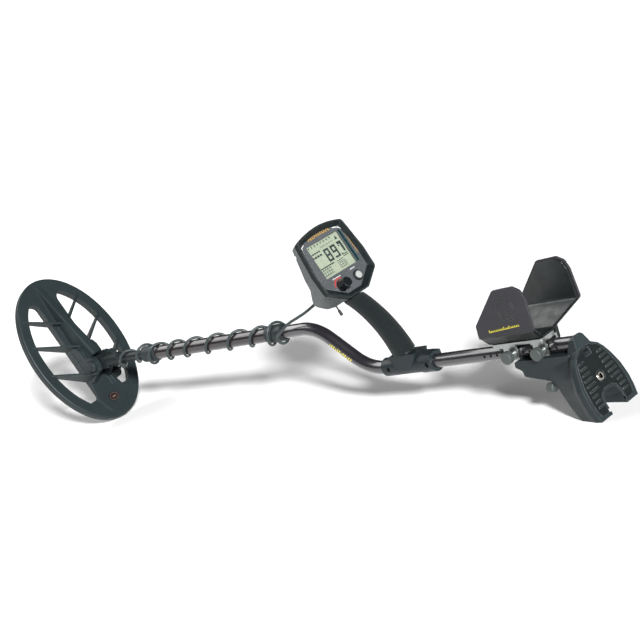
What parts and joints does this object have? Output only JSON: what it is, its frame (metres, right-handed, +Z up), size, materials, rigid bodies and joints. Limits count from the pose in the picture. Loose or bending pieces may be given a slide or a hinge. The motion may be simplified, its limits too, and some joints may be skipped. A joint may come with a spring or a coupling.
{
  "type": "metal detector",
  "caption": "Hand-held metal detector with a tilting open-frame search coil, telescopic S-shaped pole, grip with display pod, arm cuff and battery stand.",
  "frame": {"origin": "centre of the bounding box on the floor the detector stands on: the legs of the battery stand and the heel of the coil rest at Z = 0", "axes": "+X runs rearward from the coil to the stand, +Y is to the right of the user holding the grip, +Z is up"},
  "size_m": [1.1806, 0.1852, 0.2935],
  "materials": {
    "coil_plastic": "moulded, fine texture",
    "copper": "enamelled winding",
    "emblem": "glossy inlay",
    "black_plastic": "moulded",
    "stem_black": "satin glass-fibre tube",
    "mid_brown": "satin dark anodised",
    "rod_black": "gloss powder coat",
    "collar": "moulded, ribbed",
    "yoke": "moulded",
    "steel": "satin",
    "rubber_black": "soft",
    "foam": "closed-cell foam",
    "pod_shell": "moulded, satin",
    "pod_rim": "moulded, satin",
    "face": "speckled charcoal film",
    "lcd": "clear window",
    "lcd_module": "reflective LCD",
    "pcb": "solder mask",
    "knob_gloss": "glossy",
    "button_silver": "pearl",
    "cuff": "satin sheet",
    "liner": "thin foam pad",
    "bracket": "satin",
    "thumb": "knurled",
    "housing": "moulded, fine texture",
    "door": "moulded, ribbed",
    "chrome": "plated",
    "cell": "printed sleeve",
    "cable": "extruded jacket"
  },
  "bodies": {
    "frame": {"s_rod": "rod_black", "rod_yoke": "yoke", "yoke_bolts": "steel", "yoke_nuts": "steel", "rear_tube": "rod_black", "handle_core": "black_plastic", "handle_grip": "foam", "pod_rear_shell": "pod_shell", "pod_bezel": "pod_rim", "face_plate": "face", "lcd_window": "lcd", "lcd_module": "lcd_module", "circuit_board": "pcb", "potentiometer": "steel", "pod_speaker": "black_plastic", "button_ring": "black_plastic", "menu_switch": "steel", "trigger_switch": "steel", "pod_screws": "steel", "coil_socket": "steel", "coil_plug": "black_plastic", "battery_housing": "housing", "headphone_jack": "chrome", "batteries": "cell", "battery_contacts": "steel", "cable_pod_lead": "cable"},
    "mid_pole": {"mid_tube": "mid_brown", "upper_collet": "collar", "lower_collet": "collar", "cable_rod_wrap": "cable", "cable_stem_wrap": "cable"},
    "upper_lock": {"upper_lock_nut": "collar"},
    "lower_lock": {"lower_lock_nut": "collar"},
    "lower_pole": {"lower_stem": "stem_black", "stem_tip": "black_plastic", "stem_plug": "black_plastic", "cable_coil_lead": "cable"},
    "search_coil": {"coil_shell": "coil_plastic", "coil_cover": "coil_plastic", "transmit_winding": "copper", "receive_winding": "copper", "coil_emblem": "emblem", "coil_gland": "black_plastic", "pivot_bolt": "collar", "pivot_washers": "rubber_black"},
    "pivot_knob": {"pivot_nut": "collar"},
    "settings_dial": {"settings_knob": "knob_gloss"},
    "menu_key": {"menu_button": "button_silver"},
    "trigger": {"trigger_lever": "black_plastic"},
    "armrest": {"cuff": "cuff", "cuff_liner": "liner", "cuff_bracket": "bracket", "cuff_screws": "steel", "cuff_gusset": "black_plastic"},
    "front_knob": {"front_thumb_knob": "thumb"},
    "rear_knob": {"rear_thumb_knob": "thumb"},
    "door": {"battery_door": "door"},
    "latch": {"door_latch": "black_plastic"},
    "screw": {"stand_screw": "thumb"}
  },
  "joints": [
    {"name": "mid_tube_slide", "type": "slide", "parent": "frame", "child": "mid_pole", "axis": [-0.998, 0, -0.0628], "range_m": [0, 0.13], "deforming": ["cable_pod_lead"]},
    {"name": "lower_stem_slide", "type": "slide", "parent": "mid_pole", "child": "lower_pole", "axis": [-0.998, 0, -0.0628], "range_m": [0, 0.2], "deforming": ["cable_stem_wrap"]},
    {"name": "upper_lock_twist", "type": "hinge", "parent": "mid_pole", "child": "upper_lock", "pos_m": [-0.00169, 0, 0.13451], "axis": [0.998, 0, 0.0628], "range_deg": [0, 90]},
    {"name": "lower_lock_twist", "type": "hinge", "parent": "mid_pole", "child": "lower_lock", "pos_m": [-0.33203, 0, 0.11373], "axis": [0.998, 0, 0.0628], "range_deg": [0, 90]},
    {"name": "coil_tilt", "type": "hinge", "parent": "lower_pole", "child": "search_coil", "pos_m": [-0.47475, 0, 0.10475], "axis": [0, 1, 0], "range_deg": [-66, 35], "deforming": ["cable_coil_lead"]},
    {"name": "pivot_knob_turn", "type": "hinge", "parent": "search_coil", "child": "pivot_knob", "pos_m": [-0.47475, 0.025, 0.10475], "axis": [0, 1, 0], "continuous": true},
    {"name": "settings_dial_turn", "type": "hinge", "parent": "frame", "child": "settings_dial", "pos_m": [0.19628, -0.016, 0.20934], "axis": [0.9323, 0, 0.3616], "range_deg": [-240, 30]},
    {"name": "menu_key_press", "type": "slide", "parent": "frame", "child": "menu_key", "axis": [-0.9323, 0, -0.3616], "range_m": [0, 0.0012], "stiffness_N_per_m": 900},
    {"name": "trigger_pull", "type": "hinge", "parent": "frame", "child": "trigger", "pos_m": [0.14789, -0.004, 0.17234], "axis": [0, 1, 0], "range_deg": [-12, 12], "stiffness_Nm_per_rad": 0.2},
    {"name": "armrest_slide", "type": "slide", "parent": "frame", "child": "armrest", "axis": [0.998, 0, 0.0628], "range_m": [-0.058, 0.0116]},
    {"name": "front_knob_turn", "type": "hinge", "parent": "armrest", "child": "front_knob", "pos_m": [0.45395, -0.025, 0.08709], "axis": [0, -1, 0], "continuous": true},
    {"name": "rear_knob_turn", "type": "hinge", "parent": "armrest", "child": "rear_knob", "pos_m": [0.50535, -0.025, 0.09033], "axis": [0, -1, 0], "continuous": true},
    {"name": "battery_door_open", "type": "hinge", "parent": "frame", "child": "door", "pos_m": [0.58697, 0, 0.00593], "axis": [0, 1, 0], "range_deg": [0, 65]},
    {"name": "door_latch_slide", "type": "slide", "parent": "door", "child": "latch", "axis": [-0.284, 0, 0.9588], "range_m": [0, 0.003], "stiffness_N_per_m": 300},
    {"name": "stand_screw_turn", "type": "hinge", "parent": "frame", "child": "screw", "pos_m": [0.50775, -0.018, 0.04025], "axis": [-1, 0, 0], "continuous": true}
  ]
}
